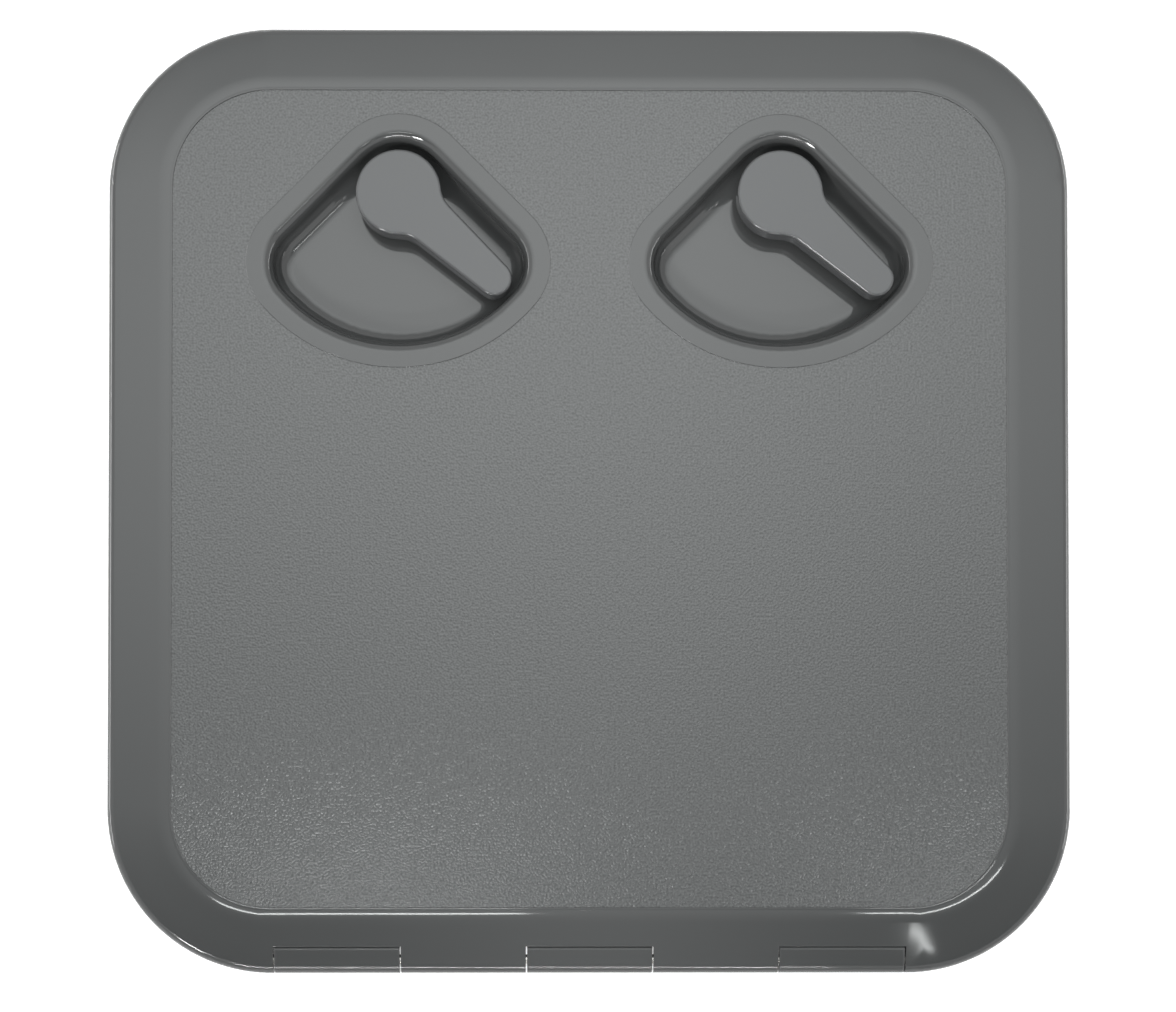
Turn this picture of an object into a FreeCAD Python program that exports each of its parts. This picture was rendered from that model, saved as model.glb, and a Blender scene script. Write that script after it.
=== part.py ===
import FreeCAD, Part
import math
import os
import re

import Sketcher
from FreeCAD import Vector

# Square access hatch for a boat's deck: a moulded lid on three hinge knuckles, a flanged frame
# with a coaming below the deck, and two quarter-turn latches in fan-shaped pockets.
# Millimetres. +X runs along the hinge line, +Y from the hinge to the latches, +Z up.
# The origin lies under the middle of the lid, at the bottom of the coaming.
# "Inset" is the distance in from the lid's outline, and heights are counted from the deck.

SIZES = (
    ("lid_width", 376.5, "lid, overall, along the hinge line"),
    ("lid_depth", 370.0, "lid, overall, from hinge edge to latch edge"),
    ("lid_corner", 64.3, "radius of the lid's corners"),
    ("lid_wall", 2.8, "thickness of the lid's top plate"),
    ("skirt_wall", 3.0, "thickness of the lid's skirt"),
    ("skirt_gap", 1.0, "gap between the deck and the foot of the skirt"),
    ("rim_edge_height", 9.8, "height of the sloping rim at the lid's outline"),
    ("rim_edge_round", 4.0, "rounding of the lid's outer edge"),
    ("crest_height", 13.2, "height of the rim's crest"),
    ("crest_inset", 25.1, "where the sloping rim reaches its crest"),
    ("panel_inset", 26.1, "edge of the anti-slip panel"),
    ("panel_drop", 0.4, "step from the crest down to the panel"),
    ("rib_thickness", 2.0, "stiffening ribs under the panel"),
    ("rib_depth", 7.0, "how far those ribs hang down"),
    ("rib_pitch", 75.0, "distance from one rib to the next"),
    ("rib_count", 3, "ribs in each direction"),
    ("cross_rib_shift", 25.0, "ribs along X stand this far towards the hinge"),
    ("latch_spacing", 148.9, "distance between the two latch pivots"),
    ("latch_inset", 65.7, "pivots, in from the lid's latch edge"),
    ("fan_shift", 1.2, "centre of the fan-shaped pocket, beyond the pivot"),
    ("fan_half_angle", 45.0, "each side of the fan, from its middle line, in degrees"),
    ("fan_apex_radius", 18.4, "narrow end of the pocket, at its floor"),
    ("fan_sweep_radius", 59.1, "wide end of the pocket, at its floor"),
    ("fan_corner_radius", 14.9, "corners of the pocket, at its floor"),
    ("pocket_depth", 12.5, "floor of the pocket, below the panel"),
    ("pocket_draft", 5.0, "draft of the pocket's wall, in degrees"),
    ("pocket_lip", 4.3, "rounding from the pocket's wall to its border"),
    ("pocket_foot", 7.0, "rounding from the pocket's wall to its floor"),
    ("border_width", 5.3, "flat border round the pocket"),
    ("border_rise", 0.3, "border, above the panel"),
    ("cup_wall", 2.8, "wall of the cup that hangs under the lid"),
    ("cup_bevel", 4.5, "bevel round the cup's outer foot"),
    ("boss_radius", 11.0, "boss that guides the latch's shaft"),
    ("boss_length", 3.8, "boss, below the cup"),
    ("channel_rib", 1.8, "two ribs that hold the seal between them"),
    ("channel_depth", 1.8, "how far those two ribs hang down"),
    ("seal_width", 6.0, "rubber seal under the lid"),
    ("seal_thickness", 2.7, "seal, before it is squeezed"),
    ("seal_side_gap", 0.1, "seal to each of its two ribs"),
    ("seal_bevel", 0.8, "bevel along the seal's lower edges"),
    ("seal_gap", 0.3, "seal to the top of the coaming"),
    ("flange_inset", 4.5, "outer edge of the frame's flange"),
    ("flange_thickness", 3.0, "frame's flange"),
    ("coaming_inset", 31.0, "outer face of the coaming"),
    ("coaming_wall", 3.0, "thickness of the coaming"),
    ("coaming_depth", 22.0, "coaming, below the deck"),
    ("fixing_inset", 17.0, "line of the fixing holes"),
    ("fixing_near_spacing", 80.0, "inner pair of holes on each side"),
    ("fixing_far_spacing", 240.0, "outer pair of holes on each side"),
    ("fixing_hole", 4.6, "diameter of a fixing hole"),
    ("fixing_head", 8.4, "diameter of its countersink"),
    ("knuckle_count", 3, "hinge knuckles on the frame"),
    ("hinge_end_inset", 90.15, "middle of an outer knuckle, in from the lid's side"),
    ("knuckle_width", 48.6, "each knuckle, along the hinge line"),
    ("knuckle_radius", 7.0, "inner round face of a knuckle, about the pin"),
    ("knuckle_root", 1.0, "how far a knuckle's foot runs into the flange"),
    ("notch_gap", 0.6, "lid's notch to the knuckle's round face"),
    ("hinge_side_gap", 0.5, "knuckle to the lug on each side of it"),
    ("lug_thickness", 5.0, "lug under the lid on each side of a knuckle"),
    ("pin_inset", 5.2, "hinge pin, in from the lid's hinge edge"),
    ("pin_height", 6.2, "hinge pin, above the deck"),
    ("pin_diameter", 4.0, "hinge pin"),
    ("pin_overhang", 2.0, "pin, past the lug at each end"),
    ("pin_chamfer", 0.4, "ends of the pin"),
    ("pin_end_gap", 0.5, "end of the pin to the end of its groove in the lid"),
    ("knuckle_pin_gap", 0.03, "pin to the knuckle's bore, all round"),
    ("lug_pin_gap", 0.06, "pin to a lug's bore, all round"),
    ("deck_swing_gap", 0.5, "swinging lid to the deck, at the hinge edge"),
    ("flange_swing_gap", 0.6, "swinging lid to the flange's hinge edge"),
    ("handle_head", 16.65, "radius of the handle's round head"),
    ("handle_tip", 6.8, "radius of the handle's tip"),
    ("handle_length", 50.3, "from the pivot to the centre of the tip"),
    ("handle_taper", 4.35, "each side of the arm, in degrees"),
    ("handle_neck", 12.4, "hollow rounding between head and arm"),
    ("handle_thickness", 7.0, "handle's arm and head"),
    ("handle_proud", 0.1, "top of the handle, above the panel"),
    ("handle_edge", 1.0, "rounding of the handle's top edge"),
    ("handle_rest_angle", 42.0, "released handle, below +X, in degrees"),
    ("hub_radius", 9.0, "hub under the handle's head"),
    ("hub_gap", 0.3, "hub to the pocket's floor"),
    ("shaft_radius", 6.0, "shaft of the latch"),
    ("shaft_gap", 0.1, "shaft to the bore of its boss, all round"),
    ("ring_width", 1.44, "section of the shaft seal, across and along the shaft"),
    ("ring_bevel", 0.42, "bevel along the edges of the shaft seal"),
    ("ring_seat_gap", 0.02, "shaft seal to the bottom of its groove"),
    ("groove_radius", 4.6, "bottom of the groove for the shaft seal"),
    ("groove_width", 2.4, "groove for the shaft seal"),
    ("groove_depth_down", 3.0, "middle of that groove, below the pocket's floor"),
    ("square_side", 8.0, "square end of the shaft, across its flats"),
    ("square_gap", 0.05, "square to the cam's hole, on each side"),
    ("square_short", 0.3, "square stops short of the cam's lower face"),
    ("cam_gap", 0.3, "cam to the foot of the boss"),
    ("cam_thickness", 5.0, "cam under the lid"),
    ("cam_hub", 10.0, "radius of the cam about the shaft"),
    ("cam_tip", 7.0, "radius of the cam's free end"),
    ("cam_wall_gap", 0.8, "cam's free end to the coaming when it is locked"),
    ("cam_lead", 1.2, "lead-in round the cam's upper edge"),
    ("catch_gap", 0.3, "catch on the coaming, above the cam"),
    ("catch_thickness", 3.3, "catch"),
    ("catch_depth", 6.2, "how far the catch stands in from the coaming"),
    ("catch_width", 44.0, "catch, along the coaming"),
    ("stop_gap", 0.5, "locked cam to its stop"),
    ("stop_width", 3.0, "stop beside the locked cam"),
    ("washer_radius", 7.5, "washer under the cam"),
    ("washer_thickness", 1.2, "washer under the cam"),
    ("screw_radius", 2.0, "shank of the cam's screw"),
    ("screw_gap", 0.02, "shank to the bore in the shaft"),
    ("screw_length", 12.0, "screw, under its head"),
    ("screw_end_gap", 1.0, "end of the screw to the end of its bore"),
    ("washer_hole_gap", 0.08, "screw to the washer's hole, all round"),
    ("screw_head_radius", 4.0, "head of the cam's screw"),
    ("screw_head_height", 2.6, "head of the cam's screw"),
    ("screw_head_bevel", 0.8, "bevel round the screw's head"),
)

doc = FreeCAD.newDocument("access_hatch")
dims = doc.addObject("Spreadsheet::Sheet", "dims")
for row, (name, number, note) in enumerate(SIZES, start=1):
    dims.set("A%d" % row, name)
    dims.set("B%d" % row, str(number))
    dims.set("C%d" % row, note)
    dims.setAlias("B%d" % row, name)
doc.recompute()

SIZE_NAMES = re.compile(r"\b(" + "|".join(name for name, number, note in SIZES) + r")\b")

# Places worked out from the sizes. Heights are counted from the underside of the coaming.
DECK = "coaming_depth"
PANEL = "(coaming_depth + crest_height - panel_drop)"
CREST = "(coaming_depth + crest_height)"
UNDERSIDE = "(coaming_depth + crest_height - panel_drop - lid_wall)"
INSIDE_PLATE = "(coaming_depth + crest_height - panel_drop - lid_wall / 2)"
SKIRT_FOOT = "(coaming_depth + skirt_gap)"
RIM_EDGE = "(coaming_depth + rim_edge_height)"
BORDER = "(" + PANEL + " + border_rise)"
FLOOR = "(" + PANEL + " - pocket_depth)"
CUP_FOOT = "(" + FLOOR + " - cup_wall)"
BOSS_FOOT = "(" + CUP_FOOT + " - boss_length)"
CAM_TOP = "(" + BOSS_FOOT + " - cam_gap)"
CAM_FOOT = "(" + CAM_TOP + " - cam_thickness)"
CATCH_FOOT = "(" + CAM_TOP + " + catch_gap)"
WASHER_FOOT = "(" + CAM_FOOT + " - washer_thickness)"
HANDLE_TOP = "(" + PANEL + " + handle_proud)"
HANDLE_FOOT = "(" + HANDLE_TOP + " - handle_thickness)"
HUB_FOOT = "(" + FLOOR + " + hub_gap)"
PIVOT_Y = "(lid_depth / 2 - latch_inset)"
FAN_Y = "(" + PIVOT_Y + " + fan_shift)"
WALL_FACE_Y = "(lid_depth / 2 - coaming_inset - coaming_wall)"
PIN_Y = "(pin_inset - lid_depth / 2)"
PIN_Z = "(coaming_depth + pin_height)"
SWING_RADIUS = "(pin_height - deck_swing_gap)"
NOTCH_RADIUS = "(knuckle_radius + notch_gap)"
NOTCH_WIDTH = "(knuckle_width + 2 * hinge_side_gap)"
LUGS_WIDTH = "(" + NOTCH_WIDTH + " + 2 * lug_thickness)"
FIRST_KNUCKLE_X = "(hinge_end_inset - lid_width / 2)"
HINGE_LENGTH = "(lid_width - 2 * hinge_end_inset)"
SEAL_INSET = "(coaming_inset + coaming_wall / 2 - seal_width / 2)"
CHANNEL_INSET = "(" + SEAL_INSET + " - seal_side_gap)"
CHANNEL_END = "(" + SEAL_INSET + " + seal_width + seal_side_gap)"
COAMING_TOP = "(" + UNDERSIDE + " - seal_thickness - seal_gap)"
SHAFT_BORE = "(shaft_radius + shaft_gap)"
RING_HEIGHT = "(" + FLOOR + " - groove_depth_down)"
CAM_REACH = "(latch_inset - coaming_inset - coaming_wall - cam_wall_gap)"
SIDES = (("left", -1), ("right", 1))


# Small helpers: sizes, sketches and features

def named(text):
    """The same expression, with each size read from the spreadsheet."""
    return SIZE_NAMES.sub(r"dims.\1", text)


def value(text):
    """What an expression comes to, in millimetres or degrees."""
    return float(dims.evalExpression(named(text)))


def bind(item, prop, text):
    """Ties a property to the spreadsheet."""
    item.setExpression(prop, named(text))


def new_body(label):
    """A body for one piece, named as its file will be."""
    body = doc.addObject("PartDesign::Body", label)
    body.Label = label
    return body


def new_sketch(body, name, plane, offset="0", turn=None):
    """An empty sketch on one of the body's own planes, moved along its normal and turned about it."""
    sketch = body.newObject("Sketcher::SketchObject", name)
    support = [item for item in body.Origin.OriginFeatures if item.Role == plane][0]
    sketch.AttachmentSupport = (support, [""])
    sketch.MapMode = "FlatFace"
    if turn:
        place = "placement(vector(0; 0; %s); rotation(vector(0; 0; 1); %s))"
        bind(sketch, "AttachmentOffset", place % (offset, turn))
    else:
        bind(sketch, "AttachmentOffset.Base.z", offset)
    return sketch


def hold(sketch, name, text, kind, *where):
    """A constraint whose size is an expression."""
    number = value(text)
    if kind == "Angle":
        number = math.radians(number)
    index = sketch.addConstraint(Sketcher.Constraint(kind, *where, number))
    sketch.renameConstraint(index, name)
    bind(sketch, "Constraints." + name, text)


def locate(sketch, name, geometry, point, x, y):
    """Holds a point of the sketch at x, y."""
    for axis, text, line in (("X", x, -2), ("Y", y, -1)):
        distance = value(text)
        tag = name + "_" + axis.lower()
        if abs(distance) < 1e-9:
            sketch.addConstraint(Sketcher.Constraint("PointOnObject", geometry, point, line))
        elif distance > 0:
            hold(sketch, tag, text, "Distance" + axis, -1, 1, geometry, point)
        else:
            hold(sketch, tag, "-(" + text + ")", "Distance" + axis, geometry, point, -1, 1)


def tangent(sketch, first, first_point, second, second_point):
    """Joins two ends smoothly."""
    sketch.addConstraint(Sketcher.Constraint("Tangent", first, first_point, second, second_point))


def joined(sketch, first, first_point, second, second_point):
    """Joins two ends with a corner."""
    sketch.addConstraint(Sketcher.Constraint("Coincident", first, first_point, second, second_point))


def arc(x, y, radius, start, end):
    """An arc from one angle to another, in degrees, anticlockwise."""
    circle = Part.Circle(Vector(x, y, 0), Vector(0, 0, 1), radius)
    return Part.ArcOfCircle(circle, math.radians(start), math.radians(end))


def line(start, end):
    """A straight line between two points of a sketch."""
    return Part.LineSegment(Vector(start[0], start[1], 0), Vector(end[0], end[1], 0))


def add_circle(sketch, name, x, y, radius):
    """A circle with its centre at x, y."""
    circle = Part.Circle(Vector(value(x), value(y), 0), Vector(0, 0, 1), value(radius))
    index = sketch.addGeometry(circle)
    locate(sketch, name, index, 3, x, y)
    hold(sketch, name + "_radius", radius, "Radius", index)


def add_polygon(sketch, name, corners):
    """A closed outline of straight lines through the corners."""
    points = [(value(x), value(y)) for x, y in corners]
    first = sketch.GeometryCount
    for index, start in enumerate(points):
        sketch.addGeometry(line(start, points[(index + 1) % len(points)]))
    for index, (x, y) in enumerate(corners):
        joined(sketch, first + index - 1 if index else first + len(corners) - 1, 2, first + index, 1)
        locate(sketch, "%s_%d" % (name, index), first + index, 1, x, y)


def add_box(sketch, name, x_low, x_high, y_low, y_high):
    """An upright rectangle."""
    add_polygon(sketch, name, ((x_low, y_low), (x_high, y_low), (x_high, y_high), (x_low, y_high)))


def add_outline(sketch, name, inset):
    """The lid's outline, or a line that runs inside it at a constant distance."""
    half_x = "(lid_width / 2 - (" + inset + "))"
    half_y = "(lid_depth / 2 - (" + inset + "))"
    corner = "(lid_corner - (" + inset + "))"
    hx, hy, radius = value(half_x), value(half_y), value(corner)
    cx, cy = hx - radius, hy - radius
    first = sketch.GeometryCount
    sides = (((-cx, -hy), (cx, -hy)), ((hx, -cy), (hx, cy)), ((cx, hy), (-cx, hy)), ((-hx, cy), (-hx, -cy)))
    centres = ((cx, -cy), (cx, cy), (-cx, cy), (-cx, -cy))
    for quarter in range(4):
        sketch.addGeometry(line(*sides[quarter]))
        x, y = centres[quarter]
        sketch.addGeometry(arc(x, y, radius, 90 * quarter - 90, 90 * quarter))
    for quarter in range(4):
        side = first + 2 * quarter
        tangent(sketch, side, 2, side + 1, 1)
        tangent(sketch, side + 1, 2, first + (2 * quarter + 2) % 8, 1)
        sketch.addConstraint(Sketcher.Constraint("Vertical" if quarter % 2 else "Horizontal", side))
        if quarter:
            sketch.addConstraint(Sketcher.Constraint("Equal", first + 1, side + 1))
    sketch.addConstraint(Sketcher.Constraint("Symmetric", first + 1, 3, first + 5, 3, -1, 1))
    hold(sketch, name + "_half_x", half_x, "DistanceX", -1, 1, first + 2, 1)
    hold(sketch, name + "_half_y", half_y, "DistanceY", -1, 1, first + 4, 1)
    hold(sketch, name + "_corner", corner, "Radius", first + 1)


def add_fan(sketch, name, x, offset):
    """The fan-shaped pocket's outline at its floor, or one that runs outside it at an offset.

    A small arc at the apex and a wide arc at the bottom share one centre. Straight sides touch
    the small arc, and two equal corner arcs join them to the wide one.
    """
    apex = "(fan_apex_radius + " + offset + ")"
    sweep = "(fan_sweep_radius + " + offset + ")"
    corner = "(fan_corner_radius + " + offset + ")"
    cx, cy = value(x), value(FAN_Y)
    ra, rs, rc = value(apex), value(sweep), value(corner)
    half = value("fan_half_angle")
    sine, cosine = math.sin(math.radians(half)), math.cos(math.radians(half))
    along = math.sqrt((rs - rc) ** 2 - (ra - rc) ** 2)
    across = ra - rc
    kx = across * cosine + along * sine
    ky = across * sine - along * cosine
    turn = math.degrees(math.atan2(ky, kx))
    first = sketch.GeometryCount
    left_corner, sweep_arc, right_corner = first + 2, first + 3, first + 4
    left_side, right_side = first + 1, first + 5
    sketch.addGeometry(arc(cx, cy, ra, half, 180 - half))
    foot = (cx - kx - rc * cosine, cy + ky + rc * sine)
    sketch.addGeometry(line(foot, (cx - ra * cosine, cy + ra * sine)))
    sketch.addGeometry(arc(cx - kx, cy + ky, rc, 180 - half, 180 - turn))
    sketch.addGeometry(arc(cx, cy, rs, 180 - turn, 360 + turn))
    sketch.addGeometry(arc(cx + kx, cy + ky, rc, turn, half))
    foot = (cx + kx + rc * cosine, cy + ky + rc * sine)
    sketch.addGeometry(line(foot, (cx + ra * cosine, cy + ra * sine)))
    tangent(sketch, first, 2, left_side, 2)
    tangent(sketch, left_side, 1, left_corner, 1)
    tangent(sketch, left_corner, 2, sweep_arc, 1)
    tangent(sketch, sweep_arc, 2, right_corner, 1)
    tangent(sketch, right_corner, 2, right_side, 1)
    tangent(sketch, right_side, 2, first, 1)
    joined(sketch, first, 3, sweep_arc, 3)
    sketch.addConstraint(Sketcher.Constraint("Equal", left_corner, right_corner))
    locate(sketch, name, first, 3, x, FAN_Y)
    hold(sketch, name + "_apex", apex, "Radius", first)
    hold(sketch, name + "_sweep", sweep, "Radius", sweep_arc)
    hold(sketch, name + "_corner", corner, "Radius", left_corner)
    hold(sketch, name + "_left", "90 - fan_half_angle", "Angle", left_side)
    hold(sketch, name + "_right", "90 + fan_half_angle", "Angle", right_side)


def extrude(body, kind, name, sketch, length, reverse=False, both=False, taper=None):
    """A pad or a pocket of a sketch."""
    feature = body.newObject("PartDesign::" + kind, name)
    feature.Profile = sketch
    feature.SideType = "Symmetric" if both else "One side"
    feature.Reversed = reverse
    bind(feature, "Length", length)
    if taper:
        bind(feature, "TaperAngle", taper)
    return feature


def pad(body, name, sketch, length, **options):
    """Material from the sketch's plane up, along its normal."""
    return extrude(body, "Pad", name, sketch, length, **options)


def pocket(body, name, sketch, length, **options):
    """A cut from the sketch's plane down, against its normal."""
    return extrude(body, "Pocket", name, sketch, length, **options)


def loft(body, kind, name, start, end):
    """A straight-sided solid, added or cut, between two sketches."""
    feature = body.newObject("PartDesign::" + kind, name)
    feature.Profile = start
    feature.Sections = [end]
    feature.Ruled = True
    return feature


def row_along(body, name, originals, sketch, direction, length, count):
    """Copies of some features in a straight row."""
    feature = body.newObject("PartDesign::LinearPattern", name)
    feature.Originals = originals
    feature.Direction = (sketch, [direction])
    bind(feature, "Length", length)
    bind(feature, "Occurrences", count)
    body.Tip = feature
    return feature


def edge_names(shape, wanted):
    """The names of some of a shape's edges."""
    names = []
    for index, edge in enumerate(shape.Edges, start=1):
        if any(edge.isSame(other) for other in wanted):
            names.append("Edge%d" % index)
    return names


def dress(body, kind, name, base, edges, prop, size):
    """A fillet or a chamfer on some edges of the feature before it."""
    feature = body.newObject("PartDesign::" + kind, name)
    feature.Base = (base, edge_names(base.Shape, edges))
    bind(feature, prop, size)
    return feature


def level_faces(shape, height, side=0):
    """Flat level faces of a shape at a height, on one side of the middle or on both."""
    found = []
    for face in shape.Faces:
        box = face.BoundBox
        level = abs(box.ZMin - height) < 1e-4 and abs(box.ZMax - height) < 1e-4
        if level and (side == 0 or face.CenterOfMass.x * side > 1):
            found.append(face)
    return found


# Lid: one injection moulding, hollow below, with both latch pockets and the hinge lugs in it

def lid_shell(body):
    """Skirt, sloping rim, panel step and the hollow under them."""
    outline = new_sketch(body, "skirt_outline", "XY_Plane", SKIRT_FOOT)
    add_outline(outline, "outer", "0")
    pad(body, "skirt_block", outline, RIM_EDGE + " - " + SKIRT_FOOT)
    edge = new_sketch(body, "rim_edge_outline", "XY_Plane", RIM_EDGE)
    add_outline(edge, "outer", "0")
    crest = new_sketch(body, "rim_crest_outline", "XY_Plane", CREST)
    add_outline(crest, "crest", "crest_inset")
    rim = loft(body, "AdditiveLoft", "sloping_rim", edge, crest)
    doc.recompute()
    height = value(RIM_EDGE)
    outer = [item for item in rim.Shape.Edges if abs(item.BoundBox.ZMax - height) < 1e-4
             and abs(item.BoundBox.ZMin - height) < 1e-4]
    dress(body, "Fillet", "rim_rounding", rim, outer, "Radius", "rim_edge_round")
    panel = new_sketch(body, "panel_outline", "XY_Plane", CREST)
    add_outline(panel, "panel", "panel_inset")
    pocket(body, "panel_step", panel, "panel_drop")
    hollow = new_sketch(body, "hollow_outline", "XY_Plane", SKIRT_FOOT)
    add_outline(hollow, "hollow", "skirt_wall")
    pocket(body, "skirt_hollow", hollow, RIM_EDGE + " - lid_wall - " + SKIRT_FOOT, reverse=True)
    low = new_sketch(body, "roof_low_outline", "XY_Plane", RIM_EDGE + " - lid_wall")
    add_outline(low, "low", "skirt_wall")
    high = new_sketch(body, "roof_high_outline", "XY_Plane", UNDERSIDE)
    add_outline(high, "high", "crest_inset")
    loft(body, "SubtractiveLoft", "sloping_roof", low, high)


def lid_ribs(body):
    """The seal's channel and the grid that stiffens the panel."""
    channel_foot = UNDERSIDE + " - channel_depth"
    sketch = new_sketch(body, "channel_ribs", "XY_Plane", channel_foot)
    add_outline(sketch, "outer_rib_out", CHANNEL_INSET + " - channel_rib")
    add_outline(sketch, "outer_rib_in", CHANNEL_INSET)
    add_outline(sketch, "inner_rib_out", CHANNEL_END)
    add_outline(sketch, "inner_rib_in", CHANNEL_END + " + channel_rib")
    pad(body, "seal_channel", sketch, INSIDE_PLATE + " - (" + channel_foot + ")")
    rib_foot = UNDERSIDE + " - rib_depth"
    rib_rise = INSIDE_PLATE + " - (" + rib_foot + ")"
    first = "(-rib_pitch * (rib_count - 1) / 2)"
    half = "rib_thickness / 2"
    end_x = "(lid_width / 2 - (" + CHANNEL_END + " + channel_rib / 2))"
    end_y = "(lid_depth / 2 - (" + CHANNEL_END + " + channel_rib / 2))"
    sketch = new_sketch(body, "long_rib", "XY_Plane", rib_foot)
    add_box(sketch, "rib", first + " - " + half, first + " + " + half, "-" + end_y, end_y)
    rib = pad(body, "long_rib_pad", sketch, rib_rise)
    row_along(body, "long_ribs", [rib], sketch, "H_Axis", "rib_pitch * (rib_count - 1)", "rib_count")
    low = "(" + first + " - cross_rib_shift)"
    sketch = new_sketch(body, "cross_rib", "XY_Plane", rib_foot)
    add_box(sketch, "rib", "-" + end_x, end_x, low + " - " + half, low + " + " + half)
    rib = pad(body, "cross_rib_pad", sketch, rib_rise)
    row_along(body, "cross_ribs", [rib], sketch, "V_Axis", "rib_pitch * (rib_count - 1)", "rib_count")


def lid_pocket(body, side, sign):
    """One fan-shaped pocket: border, cup, lip, drafted wall, floor, boss and bore."""
    x = "(%d * latch_spacing / 2)" % sign
    top_offset = "((pocket_depth + border_rise) * tan(pocket_draft * 1 deg))"
    sketch = new_sketch(body, side + "_border", "XY_Plane", UNDERSIDE)
    add_fan(sketch, "border", x, "(" + top_offset + " + pocket_lip + border_width)")
    pad(body, side + "_border_pad", sketch, BORDER + " - " + UNDERSIDE)
    sketch = new_sketch(body, side + "_cup", "XY_Plane", CUP_FOOT)
    add_fan(sketch, "cup", x, "(" + top_offset + " + cup_wall)")
    cup = pad(body, side + "_cup_pad", sketch, INSIDE_PLATE + " - " + CUP_FOOT)
    doc.recompute()
    foot = level_faces(cup.Shape, value(CUP_FOOT), sign)[0]
    dress(body, "Chamfer", side + "_cup_foot", cup, foot.OuterWire.Edges, "Size", "cup_bevel")
    sketch = new_sketch(body, side + "_boss", "XY_Plane", BOSS_FOOT)
    add_circle(sketch, "boss", x, PIVOT_Y, "boss_radius")
    pad(body, side + "_boss_pad", sketch, FLOOR + " - " + BOSS_FOOT)
    sketch = new_sketch(body, side + "_floor", "XY_Plane", FLOOR)
    add_fan(sketch, "floor", x, "0")
    hollow = pocket(body, side + "_hollow", sketch, BORDER + " - " + FLOOR, reverse=True, taper="pocket_draft")
    doc.recompute()
    border = max(level_faces(hollow.Shape, value(BORDER), sign), key=lambda face: face.Area)
    lip = [edge for wire in border.Wires if not wire.isSame(border.OuterWire) for edge in wire.Edges]
    lipped = dress(body, "Fillet", side + "_lip", hollow, lip, "Radius", "pocket_lip")
    doc.recompute()
    floor = max(level_faces(lipped.Shape, value(FLOOR), sign), key=lambda face: face.Area)
    dress(body, "Fillet", side + "_foot", lipped, floor.OuterWire.Edges, "Radius", "pocket_foot")
    sketch = new_sketch(body, side + "_bore", "XY_Plane", FLOOR)
    add_circle(sketch, "bore", x, PIVOT_Y, SHAFT_BORE)
    pocket(body, side + "_shaft_bore", sketch, FLOOR + " - " + BOSS_FOOT)


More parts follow.
